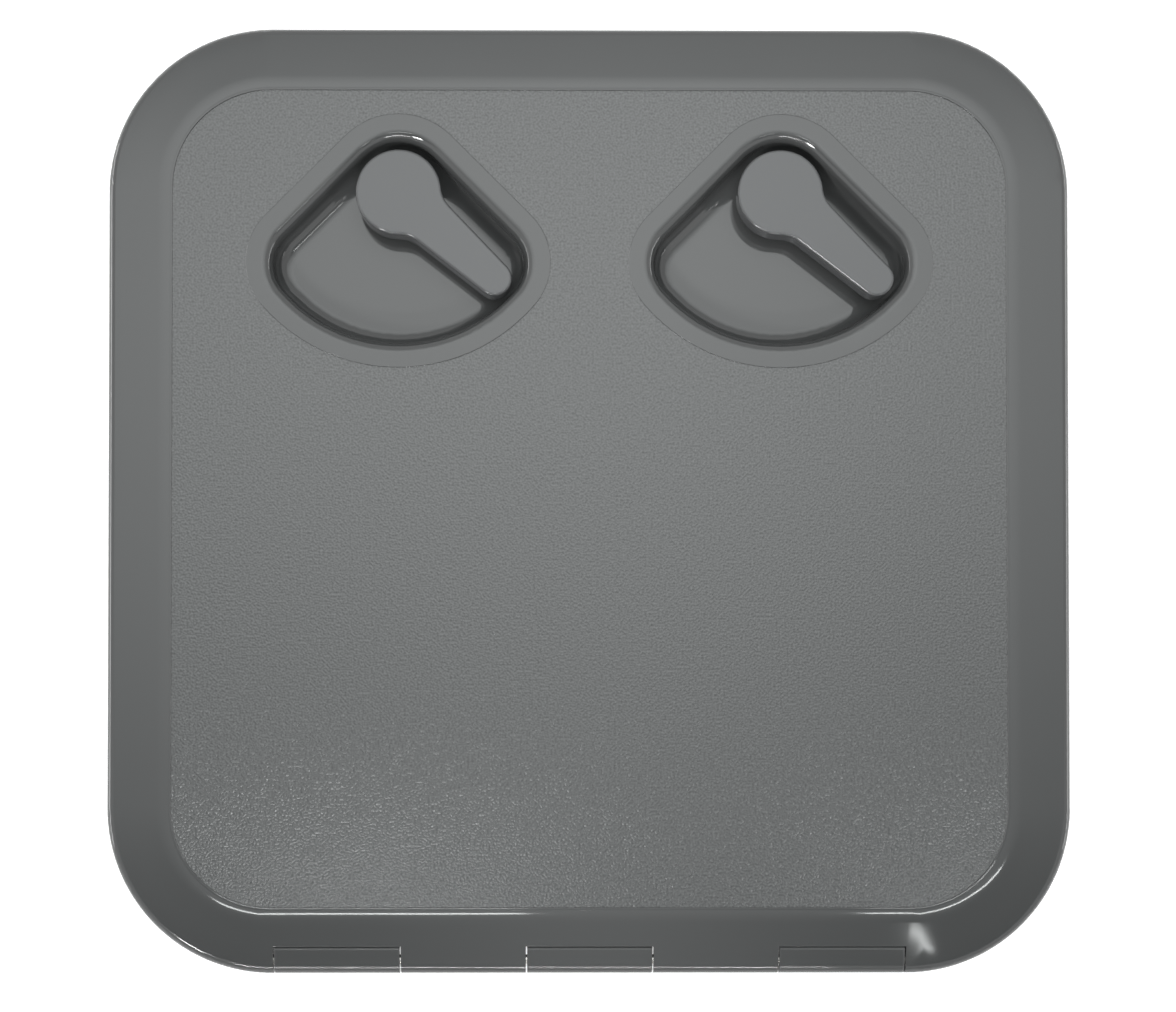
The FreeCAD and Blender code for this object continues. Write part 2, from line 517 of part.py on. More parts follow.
def lid_hinge(body):
    """Lugs and notches round the knuckles, the swing clearance and the pins' bores and grooves."""
    swing = SWING_RADIUS
    inner_y = "(" + PIN_Y + " - pin_inset + skirt_wall / 2)"
    top = "(" + RIM_EDGE + " - lid_wall / 4)"
    pin_y, pin_z, radius = value(PIN_Y), value(PIN_Z), value(swing)
    low = (value(inner_y), pin_z - math.sqrt(radius ** 2 - (value(inner_y) - pin_y) ** 2))
    lug = new_sketch(body, "lug_section", "YZ_Plane", FIRST_KNUCKLE_X)
    start = math.degrees(math.atan2(low[1] - pin_z, low[0] - pin_y))
    lug.addGeometry(arc(pin_y, pin_z, radius, start, 0))
    lug.addGeometry(line((pin_y + radius, pin_z), (pin_y + radius, value(top))))
    lug.addGeometry(line((pin_y + radius, value(top)), (low[0], value(top))))
    lug.addGeometry(line((low[0], value(top)), low))
    tangent(lug, 0, 2, 1, 1)
    joined(lug, 1, 2, 2, 1)
    joined(lug, 2, 2, 3, 1)
    joined(lug, 3, 2, 0, 1)
    lug.addConstraint(Sketcher.Constraint("Vertical", 1))
    lug.addConstraint(Sketcher.Constraint("Horizontal", 2))
    lug.addConstraint(Sketcher.Constraint("Vertical", 3))
    locate(lug, "pin", 0, 3, PIN_Y, PIN_Z)
    locate(lug, "top", 3, 1, inner_y, top)
    hold(lug, "swing", swing, "Radius", 0)
    lugs = pad(body, "lug_block", lug, LUGS_WIDTH, both=True)

    notch = new_sketch(body, "notch_section", "YZ_Plane", FIRST_KNUCKLE_X)
    radius = value(NOTCH_RADIUS)
    out = value("pin_inset + knuckle_root")
    notch.addGeometry(arc(pin_y, pin_z, radius, -90, 90))
    notch.addGeometry(line((pin_y, pin_z + radius), (pin_y - out, pin_z + radius)))
    notch.addGeometry(line((pin_y - out, pin_z + radius), (pin_y - out, pin_z - radius)))
    notch.addGeometry(line((pin_y - out, pin_z - radius), (pin_y, pin_z - radius)))
    tangent(notch, 0, 2, 1, 1)
    joined(notch, 1, 2, 2, 1)
    joined(notch, 2, 2, 3, 1)
    tangent(notch, 3, 2, 0, 1)
    notch.addConstraint(Sketcher.Constraint("Horizontal", 1))
    notch.addConstraint(Sketcher.Constraint("Vertical", 2))
    notch.addConstraint(Sketcher.Constraint("Horizontal", 3))
    locate(notch, "pin", 0, 3, PIN_Y, PIN_Z)
    hold(notch, "notch", NOTCH_RADIUS, "Radius", 0)
    hold(notch, "outboard", "pin_inset + knuckle_root", "DistanceX", 1, 2, 1, 1)
    notches = pocket(body, "notch", notch, NOTCH_WIDTH, both=True)
    row_along(body, "hinge_notches", [lugs, notches], outline_sketch(body), "H_Axis", HINGE_LENGTH, "knuckle_count")

    swing_cut = new_sketch(body, "swing_section", "YZ_Plane")
    radius = value(swing)
    out = value("pin_inset + knuckle_root")
    corners = ((pin_y - radius, pin_z), (pin_y - out, pin_z), (pin_y - out, pin_z - out), (pin_y, pin_z - out),
               (pin_y, pin_z - radius))
    swing_cut.addGeometry(arc(pin_y, pin_z, radius, 180, 270))
    for begin, end in zip(corners[:-1], corners[1:]):
        swing_cut.addGeometry(line(begin, end))
    joined(swing_cut, 0, 1, 1, 1)
    for index in (1, 2, 3):
        joined(swing_cut, index, 2, index + 1, 1)
    joined(swing_cut, 4, 2, 0, 2)
    swing_cut.addConstraint(Sketcher.Constraint("Horizontal", 1))
    swing_cut.addConstraint(Sketcher.Constraint("Horizontal", 3))
    swing_cut.addConstraint(Sketcher.Constraint("Vertical", 2))
    swing_cut.addConstraint(Sketcher.Constraint("Vertical", 4))
    locate(swing_cut, "pin", 0, 3, PIN_Y, PIN_Z)
    hold(swing_cut, "swing", swing, "Radius", 0)
    swing_cut.addConstraint(Sketcher.Constraint("DistanceY", 0, 1, 0, 3, 0))
    swing_cut.addConstraint(Sketcher.Constraint("DistanceX", 0, 2, 0, 3, 0))
    hold(swing_cut, "outboard", "pin_inset + knuckle_root", "DistanceX", 2, 1, 0, 3)
    hold(swing_cut, "below", "pin_inset + knuckle_root", "DistanceY", 3, 1, 0, 3)
    pocket(body, "swing_clearance", swing_cut, "lid_width", both=True)

    bore = new_sketch(body, "lug_bore", "YZ_Plane")
    add_circle(bore, "bore", PIN_Y, PIN_Z, "(pin_diameter / 2 + lug_pin_gap)")
    reach = HINGE_LENGTH + " + " + LUGS_WIDTH + " + 2 * (pin_overhang + pin_end_gap)"
    pocket(body, "lug_bores", bore, reach, both=True)


def outline_sketch(body):
    """The body's first sketch, whose axes run along X and Y."""
    return [item for item in body.Group if item.TypeId == "Sketcher::SketchObject"][0]


def make_lid():
    """The whole moulding."""
    body = new_body("lid")
    lid_shell(body)
    lid_ribs(body)
    for side, sign in SIDES:
        lid_pocket(body, side, sign)
    lid_hinge(body)
    return body


# Rubber seal in the lid's channel, over the coaming's top

def make_lid_seal():
    """A flat ring with bevelled lower edges."""
    body = new_body("lid_seal")
    foot = UNDERSIDE + " - seal_thickness"
    sketch = new_sketch(body, "seal_ring", "XY_Plane", foot)
    add_outline(sketch, "outer", SEAL_INSET)
    add_outline(sketch, "inner", SEAL_INSET + " + seal_width")
    ring = pad(body, "seal_pad", sketch, "seal_thickness")
    doc.recompute()
    low = level_faces(ring.Shape, value(foot))[0]
    dress(body, "Chamfer", "seal_edges", ring, low.Edges, "Size", "seal_bevel")
    return body


# Deck frame: flange, coaming, fixing holes, catches and hinge knuckles in one moulding

def frame_plate(body):
    """Flange on the deck and coaming through it. The flange ends in a straight edge at the hinge."""
    sketch = new_sketch(body, "flange_outline", "XY_Plane", DECK)
    add_outline(sketch, "outer", "flange_inset")
    add_outline(sketch, "inner", "(coaming_inset + coaming_wall)")
    pad(body, "flange", sketch, "flange_thickness")
    sketch = new_sketch(body, "coaming_outline", "XY_Plane")
    add_outline(sketch, "outer", "coaming_inset")
    add_outline(sketch, "inner", "(coaming_inset + coaming_wall)")
    pad(body, "coaming", sketch, COAMING_TOP)
    edge = "(" + PIN_Y + " + " + SWING_RADIUS + " + flange_swing_gap)"
    sketch = new_sketch(body, "hinge_edge", "XY_Plane", DECK)
    add_box(sketch, "edge", "-lid_width / 2", "lid_width / 2", "-lid_depth / 2", edge)
    pocket(body, "hinge_edge_cut", sketch, "flange_thickness", reverse=True)


def frame_fixings(body):
    """Sixteen countersunk holes, two pairs on each side."""
    doc.recompute()
    sketch = new_sketch(body, "fixing_centres", "XY_Plane", DECK + " + flange_thickness")
    edge_x = "(lid_width / 2 - fixing_inset)"
    edge_y = "(lid_depth / 2 - fixing_inset)"
    for number, spacing in enumerate(("fixing_near_spacing", "fixing_far_spacing")):
        along = "(" + spacing + " / 2)"
        for corner, (a, b) in enumerate(((1, 1), (1, -1), (-1, 1), (-1, -1))):
            tag = "hole_%d_%d" % (number, corner)
            add_circle(sketch, tag + "_y", "%d * %s" % (a, along), "%d * %s" % (b, edge_y), "fixing_hole / 2")
            add_circle(sketch, tag + "_x", "%d * %s" % (a, edge_x), "%d * %s" % (b, along), "fixing_hole / 2")
    doc.recompute()
    hole = body.newObject("PartDesign::Hole", "fixing_holes")
    hole.Profile = sketch
    hole.DepthType = "ThroughAll"
    hole.HoleCutType = "Countersink"
    hole.HoleCutCustomValues = True
    hole.HoleCutCountersinkAngle = 90
    bind(hole, "Diameter", "fixing_hole")
    bind(hole, "HoleCutDiameter", "fixing_head")


def frame_catches(body):
    """A ledge for each cam, under which it turns, and a stop beside the locked cam."""
    for side, sign in SIDES:
        x = "(%d * latch_spacing / 2)" % sign
        outer = "(" + WALL_FACE_Y + " + coaming_wall / 2)"
        inner = "(" + WALL_FACE_Y + " - catch_depth)"
        sketch = new_sketch(body, side + "_catch", "XY_Plane", CATCH_FOOT)
        add_box(sketch, "ledge", x + " - catch_width / 2", x + " + catch_width / 2", inner, outer)
        pad(body, side + "_catch_ledge", sketch, "catch_thickness")
        near = x + " + cam_tip + stop_gap"
        sketch = new_sketch(body, side + "_stop", "XY_Plane", CAM_FOOT)
        add_box(sketch, "stop", near, near + " + stop_width", inner, outer)
        pad(body, side + "_cam_stop", sketch, CATCH_FOOT + " + catch_thickness - " + CAM_FOOT)


def frame_knuckles(body):
    """Hinge knuckles whose tops carry on the slope of the lid's rim."""
    pin_y, pin_z, radius = value(PIN_Y), value(PIN_Z), value("knuckle_radius")
    flange_top = DECK + " + flange_thickness"
    root = "(" + PIN_Y + " + " + SWING_RADIUS + " + flange_swing_gap + knuckle_root)"
    edge_y, edge_z = value("-lid_depth / 2"), value(RIM_EDGE)
    crest_y, crest_z = value("crest_inset - lid_depth / 2"), value(CREST)
    low_y = pin_y + math.sqrt(radius ** 2 - (value(flange_top) - pin_z) ** 2)
    slope = (crest_z - edge_z) / (crest_y - edge_y)
    rise = edge_z + slope * (pin_y - edge_y) - pin_z
    high_y = (math.sqrt(radius ** 2 * (1 + slope ** 2) - rise ** 2) - slope * rise) / (1 + slope ** 2)
    high = (pin_y + high_y, pin_z + rise + slope * high_y)
    start = math.degrees(math.asin((value(flange_top) - pin_z) / radius))
    end = math.degrees(math.atan2(high[1] - pin_z, high[0] - pin_y))
    sketch = new_sketch(body, "knuckle_section", "YZ_Plane", FIRST_KNUCKLE_X)
    deck, top = value(DECK), value(flange_top)
    sketch.addGeometry(arc(pin_y, pin_z, radius, start, end))
    sketch.addGeometry(line(high, (edge_y, edge_z)))
    sketch.addGeometry(line((edge_y, edge_z), (edge_y, deck)))
    sketch.addGeometry(line((edge_y, deck), (value(root), deck)))
    sketch.addGeometry(line((value(root), deck), (value(root), top)))
    sketch.addGeometry(line((value(root), top), (low_y, top)))
    sketch.addGeometry(line((edge_y, edge_z), (crest_y, crest_z)), True)
    for index in range(5):
        joined(sketch, index, 2, index + 1, 1)
    joined(sketch, 5, 2, 0, 1)
    joined(sketch, 6, 1, 1, 2)
    sketch.addConstraint(Sketcher.Constraint("PointOnObject", 0, 2, 6))
    sketch.addConstraint(Sketcher.Constraint("Horizontal", 5))
    locate(sketch, "pin", 0, 3, PIN_Y, PIN_Z)
    hold(sketch, "round", "knuckle_radius", "Radius", 0)
    locate(sketch, "edge", 2, 1, "-lid_depth / 2", RIM_EDGE)
    locate(sketch, "foot", 3, 1, "-lid_depth / 2", DECK)
    locate(sketch, "root", 4, 1, root, DECK)
    locate(sketch, "flange", 5, 1, root, flange_top)
    locate(sketch, "crest", 6, 2, "crest_inset - lid_depth / 2", CREST)
    knuckle = pad(body, "knuckle", sketch, "knuckle_width", both=True)
    knuckles = row_along(body, "knuckles", [knuckle], outline_sketch(body), "H_Axis", HINGE_LENGTH, "knuckle_count")
    doc.recompute()
    corner = [edge for edge in knuckles.Shape.Edges
              if abs(edge.BoundBox.ZMin - edge_z) < 1e-4 and abs(edge.BoundBox.ZMax - edge_z) < 1e-4
              and abs(edge.BoundBox.YMax - edge_y) < 1e-4]
    dress(body, "Fillet", "knuckle_rounding", knuckles, corner, "Radius", "rim_edge_round")
    bore = new_sketch(body, "knuckle_bore", "YZ_Plane")
    add_circle(bore, "bore", PIN_Y, PIN_Z, "(pin_diameter / 2 + knuckle_pin_gap)")
    pocket(body, "knuckle_bores", bore, HINGE_LENGTH + " + " + NOTCH_WIDTH, both=True)


def make_deck_frame():
    """The whole frame."""
    body = new_body("deck_frame")
    frame_plate(body)
    frame_fixings(body)
    frame_catches(body)
    frame_knuckles(body)
    return body


# Stainless hinge pins, one through each knuckle and its two lugs

def make_hinge_pin(side, step):
    """A plain pin with chamfered ends."""
    body = new_body(side + "_hinge_pin")
    sketch = new_sketch(body, "pin_section", "YZ_Plane", "%d * %s / 2" % (step, HINGE_LENGTH))
    add_circle(sketch, "pin", PIN_Y, PIN_Z, "(pin_diameter / 2)")
    rod = pad(body, "pin", sketch, LUGS_WIDTH + " + 2 * pin_overhang", both=True)
    doc.recompute()
    ends = [edge for edge in rod.Shape.Edges if edge.BoundBox.XLength < 1e-4]
    dress(body, "Chamfer", "pin_ends", rod, ends, "Size", "pin_chamfer")
    return body


# Latches: each piece is drawn about the pivot and then set at its place in the lid

def set_at_pivot(piece, sign, angle="0"):
    """Moves a piece to its latch and turns it about the upright pivot, clockwise from above."""
    place = "placement(vector(%d * latch_spacing / 2; %s; 0); rotation(vector(0; 0; 1); -(%s)))"
    bind(piece, "Placement", place % (sign, PIVOT_Y, angle))


def make_handle(side, sign):
    """Handle, hub, shaft and square in one moulding."""
    body = new_body(side + "_handle")
    taper = math.radians(value("handle_taper"))
    reach, tip, head, neck = (value(name) for name in ("handle_length", "handle_tip", "handle_head", "handle_neck"))
    sine, cosine = math.sin(taper), math.cos(taper)
    across = tip + reach * sine + neck
    along = math.sqrt((head + neck) ** 2 - across ** 2)
    nx, ny = across * sine + along * cosine, across * cosine - along * sine
    turn = math.degrees(math.atan2(ny, nx))
    side_start = (nx - neck * sine, ny - neck * cosine)
    side_end = (reach + tip * sine, tip * cosine)
    tilt = math.degrees(taper)
    sketch = new_sketch(body, "handle_outline", "XY_Plane", HANDLE_FOOT)
    sketch.addGeometry(arc(0, 0, head, turn, 360 - turn))
    sketch.addGeometry(arc(nx, -ny, neck, 90 + tilt, 180 - turn))
    sketch.addGeometry(line((side_start[0], -side_start[1]), (side_end[0], -side_end[1])))
    sketch.addGeometry(arc(reach, 0, tip, tilt - 90, 90 - tilt))
    sketch.addGeometry(line(side_end, side_start))
    sketch.addGeometry(arc(nx, ny, neck, 180 + turn, 270 - tilt))
    tangent(sketch, 0, 2, 1, 2)
    tangent(sketch, 1, 1, 2, 1)
    tangent(sketch, 2, 2, 3, 1)
    tangent(sketch, 3, 2, 4, 1)
    tangent(sketch, 4, 2, 5, 2)
    tangent(sketch, 5, 1, 0, 1)
    joined(sketch, 0, 3, -1, 1)
    locate(sketch, "tip", 3, 3, "handle_length", "0")
    sketch.addConstraint(Sketcher.Constraint("Equal", 1, 5))
    hold(sketch, "head_radius", "handle_head", "Radius", 0)
    hold(sketch, "tip_radius", "handle_tip", "Radius", 3)
    hold(sketch, "neck_radius", "handle_neck", "Radius", 1)
    hold(sketch, "lower_side", "handle_taper", "Angle", 2)
    hold(sketch, "upper_side", "180 - handle_taper", "Angle", 4)
    grip = pad(body, "grip", sketch, "handle_thickness")
    doc.recompute()
    top = level_faces(grip.Shape, value(HANDLE_TOP))[0]
    dress(body, "Fillet", "grip_edge", grip, top.Edges, "Radius", "handle_edge")
    hub = new_sketch(body, "hub_circle", "XY_Plane", HUB_FOOT)
    add_circle(hub, "hub", "0", "0", "hub_radius")
    pad(body, "hub", hub, HANDLE_FOOT + " - " + HUB_FOOT)
    shaft = new_sketch(body, "shaft_circle", "XY_Plane", CAM_TOP)
    add_circle(shaft, "shaft", "0", "0", "shaft_radius")
    pad(body, "shaft", shaft, HUB_FOOT + " - " + CAM_TOP)
    groove = new_sketch(body, "groove_ring", "XY_Plane", RING_HEIGHT + " - groove_width / 2")
    add_circle(groove, "outer", "0", "0", "(shaft_radius + shaft_gap)")
    add_circle(groove, "inner", "0", "0", "groove_radius")
    pocket(body, "seal_groove", groove, "groove_width", reverse=True)
    square = new_sketch(body, "square_section", "XY_Plane", CAM_FOOT + " + square_short", "handle_rest_angle")
    half = "square_side / 2"
    add_box(square, "square", "-" + half, half, "-" + half, half)
    pad(body, "square", square, "cam_thickness - square_short")
    bore = new_sketch(body, "screw_bore", "XY_Plane", CAM_FOOT)
    add_circle(bore, "bore", "0", "0", "(screw_radius + screw_gap)")
    depth = "screw_length - washer_thickness + screw_end_gap"
    pocket(body, "screw_bore_cut", bore, depth, reverse=True)
    set_at_pivot(body, sign, "handle_rest_angle")
    return body


def make_shaft_seal(side, sign):
    """Rubber ring in the shaft's groove, with bevelled edges."""
    body = new_body(side + "_shaft_seal")
    inner = "(groove_radius + ring_seat_gap)"
    sketch = new_sketch(body, "seal_section", "XY_Plane", RING_HEIGHT + " - ring_width / 2")
    add_circle(sketch, "outer", "0", "0", inner + " + ring_width")
    add_circle(sketch, "inner", "0", "0", inner)
    ring = pad(body, "ring", sketch, "ring_width")
    doc.recompute()
    corners = [edge for edge in ring.Shape.Edges if edge.BoundBox.ZLength < 1e-4]
    dress(body, "Chamfer", "ring_edges", ring, corners, "Size", "ring_bevel")
    set_at_pivot(body, sign)
    return body


def make_latch_cam(side, sign):
    """Cam on the square: a hub and a free end joined by straight flanks, with a lead-in all round."""
    body = new_body(side + "_latch_cam")
    hub, tip = value("cam_hub"), value("cam_tip")
    reach = value(CAM_REACH) - tip
    lean = math.degrees(math.asin((hub - tip) / reach))
    sine, cosine = math.sin(math.radians(lean)), math.cos(math.radians(lean))
    sketch = new_sketch(body, "cam_outline", "XY_Plane", CAM_FOOT)
    sketch.addGeometry(arc(0, 0, hub, 90 - lean, 270 + lean))
    sketch.addGeometry(line((hub * sine, -hub * cosine), (reach + tip * sine, -tip * cosine)))
    sketch.addGeometry(arc(reach, 0, tip, lean - 90, 90 - lean))
    sketch.addGeometry(line((reach + tip * sine, tip * cosine), (hub * sine, hub * cosine)))
    tangent(sketch, 0, 2, 1, 1)
    tangent(sketch, 1, 2, 2, 1)
    tangent(sketch, 2, 2, 3, 1)
    tangent(sketch, 3, 2, 0, 1)
    joined(sketch, 0, 3, -1, 1)
    locate(sketch, "tip", 2, 3, CAM_REACH + " - cam_tip", "0")
    hold(sketch, "hub_radius", "cam_hub", "Radius", 0)
    hold(sketch, "tip_radius", "cam_tip", "Radius", 2)
    plate = pad(body, "cam_plate", sketch, "cam_thickness")
    hole = new_sketch(body, "square_hole", "XY_Plane", CAM_FOOT)
    half = "(square_side / 2 + square_gap)"
    add_box(hole, "hole", "-" + half, half, "-" + half, half)
    holed = pocket(body, "square_hole_cut", hole, "cam_thickness", reverse=True)
    doc.recompute()
    top = level_faces(holed.Shape, value(CAM_TOP))[0]
    dress(body, "Chamfer", "lead_in", holed, top.OuterWire.Edges, "Size", "cam_lead")
    set_at_pivot(body, sign, "180")
    return body


def make_cam_washer(side, sign):
    """Stainless washer that spans the cam's square hole."""
    body = new_body(side + "_cam_washer")
    sketch = new_sketch(body, "washer_ring", "XY_Plane", WASHER_FOOT)
    add_circle(sketch, "outer", "0", "0", "washer_radius")
    add_circle(sketch, "inner", "0", "0", "(screw_radius + washer_hole_gap)")
    pad(body, "washer", sketch, "washer_thickness")
    set_at_pivot(body, sign)
    return body


def make_cam_screw(side, sign):
    """Pan-head screw, from below, into the end of the shaft."""
    body = new_body(side + "_cam_screw")
    head = new_sketch(body, "head_circle", "XY_Plane", WASHER_FOOT + " - screw_head_height")
    add_circle(head, "head", "0", "0", "screw_head_radius")
    pan = pad(body, "head", head, "screw_head_height")
    doc.recompute()
    face = level_faces(pan.Shape, value(WASHER_FOOT + " - screw_head_height"))[0]
    dress(body, "Chamfer", "head_edge", pan, face.Edges, "Size", "screw_head_bevel")
    shank = new_sketch(body, "shank_circle", "XY_Plane", WASHER_FOOT)
    add_circle(shank, "shank", "0", "0", "screw_radius")
    pad(body, "shank", shank, "screw_length")
    set_at_pivot(body, sign)
    return body


pieces = [make_deck_frame(), make_lid(), make_lid_seal()]
for pin_side, pin_step in (("left", -1), ("middle", 0), ("right", 1)):
    pieces.append(make_hinge_pin(pin_side, pin_step))
for latch_side, latch_sign in SIDES:
    pieces.append(make_handle(latch_side, latch_sign))
    pieces.append(make_shaft_seal(latch_side, latch_sign))
    pieces.append(make_latch_cam(latch_side, latch_sign))
    pieces.append(make_cam_washer(latch_side, latch_sign))
    pieces.append(make_cam_screw(latch_side, latch_sign))
doc.recompute()

faults = [item.Name for item in doc.Objects if "Invalid" in item.State or "Error" in item.State]
faults += [piece.Label for piece in pieces if piece.Shape.isNull() or not piece.Shape.isValid()]
if faults:
    raise RuntimeError("not made: " + ", ".join(faults))

os.makedirs("parts", exist_ok=True)
for piece in pieces:
    piece.Shape.exportStep("parts/" + piece.Label + ".step")
    box = piece.Shape.BoundBox
    print("%-20s solids %d  volume %9.0f  z %7.2f to %7.2f" % (
        piece.Label, len(piece.Shape.Solids), piece.Shape.Volume, box.ZMin, box.ZMax))
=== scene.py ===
import math

import bpy
import numpy as np
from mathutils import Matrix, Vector

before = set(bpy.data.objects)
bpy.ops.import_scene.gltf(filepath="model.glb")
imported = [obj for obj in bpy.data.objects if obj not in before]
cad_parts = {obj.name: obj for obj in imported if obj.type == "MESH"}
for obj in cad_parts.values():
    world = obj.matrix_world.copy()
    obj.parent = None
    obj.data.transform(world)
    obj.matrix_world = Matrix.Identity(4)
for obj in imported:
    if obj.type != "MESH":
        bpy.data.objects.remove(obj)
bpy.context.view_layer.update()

MM = 0.001


# Deck frame: one moulding in grey ABS, screwed to the deck under the lid. Only its three hinge
# knuckles show from above, level with the lid's sloping rim.

def linear(code):
    """A colour written in sRGB hex, as linear red, green, blue and alpha."""
    parts = [int(code[i:i + 2], 16) / 255 for i in (1, 3, 5)]
    return [p / 12.92 if p <= 0.04045 else ((p + 0.055) / 1.055) ** 2.4 for p in parts] + [1.0]


def add(tree, kind, settings=None, links=None):
    """Adds a node: settings are attributes, or inputs by name; links are inputs by name or place."""
    node = tree.nodes.new(kind)
    for name, what in (settings or {}).items():
        if isinstance(name, str) and hasattr(node, name):
            setattr(node, name, what)
        else:
            node.inputs[name].default_value = what
    for name, output in (links or {}).items():
        tree.links.new(output, node.inputs[name])
    return node


def new_material(name, colour, roughness, ior=1.5, metallic=0.0):
    """A material of one shader, with its values on the shader's own inputs."""
    material = bpy.data.materials.new(name)
    material.use_nodes = True
    shader = material.node_tree.nodes["Principled BSDF"]
    shader.inputs["Base Color"].default_value = linear(colour)
    shader.inputs["Roughness"].default_value = roughness
    shader.inputs["Metallic"].default_value = metallic
    if not metallic:
        shader.inputs["IOR"].default_value = ior
    return material


def link_shader(tree, name, output):
    """Feeds one input of a material's shader."""
    tree.links.new(output, tree.nodes["Principled BSDF"].inputs[name])


def rounded_edges(tree, radius):
    """Normals with the moulding's sharp edges rounded by a radius."""
    return add(tree, "ShaderNodeBevel", {"samples": 4, "Radius": radius}).outputs["Normal"]


def bumped(tree, normal, pattern, height, strength=1.0):
    """Normals tilted by a pattern whose full swing is the given height in metres."""
    return add(tree, "ShaderNodeBump", {"Strength": strength, "Distance": height},
               {"Height": pattern, "Normal": normal}).outputs["Normal"]


def noise(tree, size, detail):
    """Noise on the piece's own coordinates, with features of a real size in metres."""
    place = add(tree, "ShaderNodeTexCoord")
    return add(tree, "ShaderNodeTexNoise", {"Scale": 1 / size, "Detail": detail},
               {"Vector": place.outputs["Object"]}).outputs["Fac"]


same_point = 0.001 * MM
sharp_angle = math.radians(26)


def smooth_shaded(name, *materials):
    """A node of the solid model, its triangles joined, its rounded faces smooth and its edges sharp."""
    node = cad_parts[name]
    node.data.polygons.foreach_set("use_smooth", np.ones(len(node.data.polygons), bool))
    node.data.materials.clear()
    for material in materials:
        node.data.materials.append(material)
    weld = node.modifiers.new("join", "WELD")
    weld.merge_threshold = same_point
    split = node.modifiers.new("edges", "EDGE_SPLIT")
    split.split_angle = sharp_angle
    node.modifiers.new("flats", "WEIGHTED_NORMAL")
    return node


# ABS straight from a polished mould: a smooth gloss that mirrors lamps a little softly. The skin
# is faintly wavy from cooling, so a mirrored edge wanders. The knuckles' edges are well rounded.
knuckle_round = 1.2 * MM
wave_size = 38 * MM
wave_height = 0.25 * MM
wave_strength = 0.35
gloss_abs = new_material("gloss_abs", "#464747", roughness=0.07, ior=1.55)
tree = gloss_abs.node_tree
waves = noise(tree, wave_size, detail=1.0)
wavy = bumped(tree, rounded_edges(tree, knuckle_round), waves, wave_height, wave_strength)
link_shader(tree, "Normal", wavy)
smooth_shaded("deck_frame", gloss_abs)


# Hinge pins: three plain stainless rods, pressed through a knuckle and the lid's lug on each side.

# Drawn and stamped stainless steel: a pale, slightly warm metal with a soft reflection
stainless = new_material("stainless_steel", "#C9C8C4", roughness=0.24, metallic=1.0)
for side in ("left", "middle", "right"):
    smooth_shaded(side + "_hinge_pin", stainless)


# Lid: one moulding in the same grey ABS. The rim, the pockets and their borders come from polished
# steel, and the flat panel between them is grained so that a wet foot holds on it.

lid_half = (188.25 * MM, 185 * MM)
lid_corner = 64.3 * MM
crest_inset = 25.1 * MM
crest_width = 5 * MM
rim_drop = 3.4 * MM
edge_round = 0.4 * MM


def past_crest(tree):
    """0 inside the line where the rim begins, rising to 1 over the crest's width outside it.

    The line runs parallel to the lid's outline, a rounded rectangle.
    """
    place = add(tree, "ShaderNodeTexCoord")
    quarter = add(tree, "ShaderNodeVectorMath", {"operation": "ABSOLUTE"}, {0: place.outputs["Object"]})
    past = add(tree, "ShaderNodeVectorMath", {"operation": "SUBTRACT"}, {0: quarter.outputs[0]})
    past.inputs[1].default_value = (lid_half[0] - lid_corner, lid_half[1] - lid_corner, 1)
    outside = add(tree, "ShaderNodeVectorMath", {"operation": "MAXIMUM"}, {0: past.outputs[0]})
    radius = add(tree, "ShaderNodeVectorMath", {"operation": "LENGTH"}, {0: outside.outputs[0]})
    line = lid_corner - crest_inset
    return add(tree, "ShaderNodeMapRange", {"From Min": line, "From Max": line + crest_width},
               {"Value": radius.outputs["Value"]}).outputs[0]


# The same polished ABS, where the panel rolls over into the sloping rim: the roll gives the crest a
# soft light line in place of a hard one. Its bump cancels the rim's slope at the crest and fades
# out over the crest's width.
rim_abs = gloss_abs.copy()
rim_abs.name = "gloss_abs_with_soft_crest"
tree = rim_abs.node_tree
out = past_crest(tree)
bend = add(tree, "ShaderNodeMath", {"operation": "MULTIPLY_ADD", 1: -0.5, 2: 1.0}, {0: out})
dome = add(tree, "ShaderNodeMath", {"operation": "MULTIPLY"}, {0: out, 1: bend.outputs[0]})
rounding = tree.nodes["Bevel"]
rounding.inputs["Radius"].default_value = edge_round
crest_drop = rim_drop / crest_inset * crest_width
crest_normal = bumped(tree, rounding.outputs["Normal"], dome.outputs[0], crest_drop)
tree.links.new(crest_normal, tree.nodes["Bump"].inputs["Normal"])

# ABS from an etched mould: fine pits that break a reflection into specks. The pits' shade is painted
# into the colour, darker in each pit's middle and lighter between pits. Their size is read from the
# photograph, whose pixels are 0.4 mm, so the real grain may be finer than it is drawn here.
grain_colour = "#4E4F4F"
grain_size = 0.85 * MM
grain_height = 0.11 * MM
painted_pit_shade = 0.24
noise_middle = 0.5
noise_reach = 0.25
grained_abs = new_material("grained_abs", grain_colour, roughness=0.15, ior=1.55)
tree = grained_abs.node_tree
grain = noise(tree, grain_size, detail=0.0)
# Painted shade: the noise that sinks the pits also darkens the colour in them and lightens it between them
shade = add(tree, "ShaderNodeMapRange",
            {"From Min": noise_middle - noise_reach, "From Max": noise_middle + noise_reach,
             "To Min": 1 - painted_pit_shade, "To Max": 1 + painted_pit_shade, "clamp": False},
            {"Value": grain})
colour_with_painted_pit_shade = add(tree, "ShaderNodeVectorMath", {"operation": "SCALE", 0: linear(grain_colour)[:3]},
             {"Scale": shade.outputs[0]})
link_shader(tree, "Base Color", colour_with_painted_pit_shade.outputs[0])
link_shader(tree, "Normal", bumped(tree, rounded_edges(tree, edge_round), grain, grain_height))

